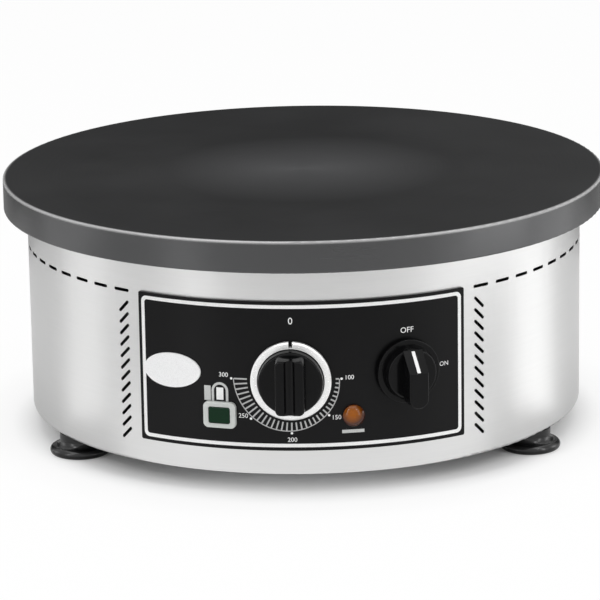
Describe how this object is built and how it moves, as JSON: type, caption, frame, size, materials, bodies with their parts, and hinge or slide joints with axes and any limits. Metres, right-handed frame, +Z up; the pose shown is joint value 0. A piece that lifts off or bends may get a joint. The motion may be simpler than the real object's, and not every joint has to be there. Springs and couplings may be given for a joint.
{
  "type": "electric crepe maker",
  "caption": "Round electric crepe maker: a flat cast-iron griddle on a slotted stainless drum with a black control panel, a thermostat knob, a switch knob and pilot lamps.",
  "frame": {"origin": "on the counter, under the drum's vertical axis", "axes": "+Z up; -Y is the front, with the control panel; +X is the viewer's right; +Y is the back, with the cable entry"},
  "size_m": [0.4, 0.4172, 0.17],
  "materials": {
    "seasoned_cast_iron": "machined and seasoned, satin",
    "element_sheath": "heat-darkened sheath, satin",
    "ceramic_white": "unglazed",
    "galvanised_steel": "galvanised, dull",
    "plated_fasteners": "zinc plated",
    "mineral_wool": "felted, matte",
    "stainless_wall": "brushed stainless steel",
    "foot_rubber": "moulded, slightly glossy",
    "fascia_black": "satin black print with a white line",
    "badge_white": "blank, satin",
    "control_housing": "moulded, matte",
    "knob_black": "moulded, satin",
    "bright_ring": "turned, bright",
    "copper": "drawn copper",
    "bezel_grey": "moulded, satin",
    "green_lens": "dark green, unlit",
    "amber_lens": "amber, translucent",
    "gland_nylon": "moulded nylon",
    "brass": "plain"
  },
  "bodies": {
    "housing": {"griddle_plate": "seasoned_cast_iron", "heating_element": "element_sheath", "element_terminals": "ceramic_white", "element_clamp_plate": "galvanised_steel", "clamp_studs": "plated_fasteners", "clamp_nuts": "plated_fasteners", "insulation_disc": "mineral_wool", "heat_shield": "galvanised_steel", "support_post_left": "plated_fasteners", "support_post_right": "plated_fasteners", "support_post_rear": "plated_fasteners", "post_nuts": "plated_fasteners", "drum_shell": "stainless_wall", "seam_strip": "stainless_wall", "seam_rivets": "stainless_wall", "chassis_disc": "galvanised_steel", "chassis_screws": "plated_fasteners", "chassis_screw_nuts": "plated_fasteners", "foot_left": "foot_rubber", "foot_right": "foot_rubber", "foot_rear": "foot_rubber", "foot_bolts": "plated_fasteners", "foot_nuts": "plated_fasteners", "control_fascia": "fascia_black", "badge_plate": "badge_white", "thermostat_body": "control_housing", "thermostat_screws": "plated_fasteners", "thermostat_capillary": "copper", "thermostat_bulb": "copper", "switch_body": "control_housing", "switch_screws": "plated_fasteners", "mains_lamp_bezel": "bezel_grey", "mains_lamp_lens": "green_lens", "mains_lamp_body": "control_housing", "heating_lamp_lens": "amber_lens", "heating_lamp_body": "control_housing", "heating_lamp_nut": "plated_fasteners", "gland_body": "gland_nylon", "gland_cap": "gland_nylon", "gland_locknut": "gland_nylon", "gland_seal": "foot_rubber", "terminal_block": "ceramic_white", "terminal_screws": "brass", "block_fixing_screws": "plated_fasteners", "earth_stud": "brass", "earth_nut": "brass"},
    "thermostat_control": {"thermostat_shaft": "plated_fasteners", "thermostat_knob": "knob_black", "thermostat_knob_ring": "bright_ring"},
    "switch_control": {"switch_shaft": "plated_fasteners", "switch_knob": "knob_black"}
  },
  "joints": [
    {"name": "thermostat_turn", "type": "hinge", "parent": "housing", "child": "thermostat_control", "pos_m": [-0.00649, -0.18594, 0.0773], "axis": [0.0349, 0.9994, 0], "range_deg": [0, 270]},
    {"name": "switch_turn", "type": "hinge", "parent": "housing", "child": "switch_control", "pos_m": [0.06607, -0.17392, 0.0795], "axis": [-0.3551, 0.9348, 0], "range_deg": [0, 90]}
  ]
}
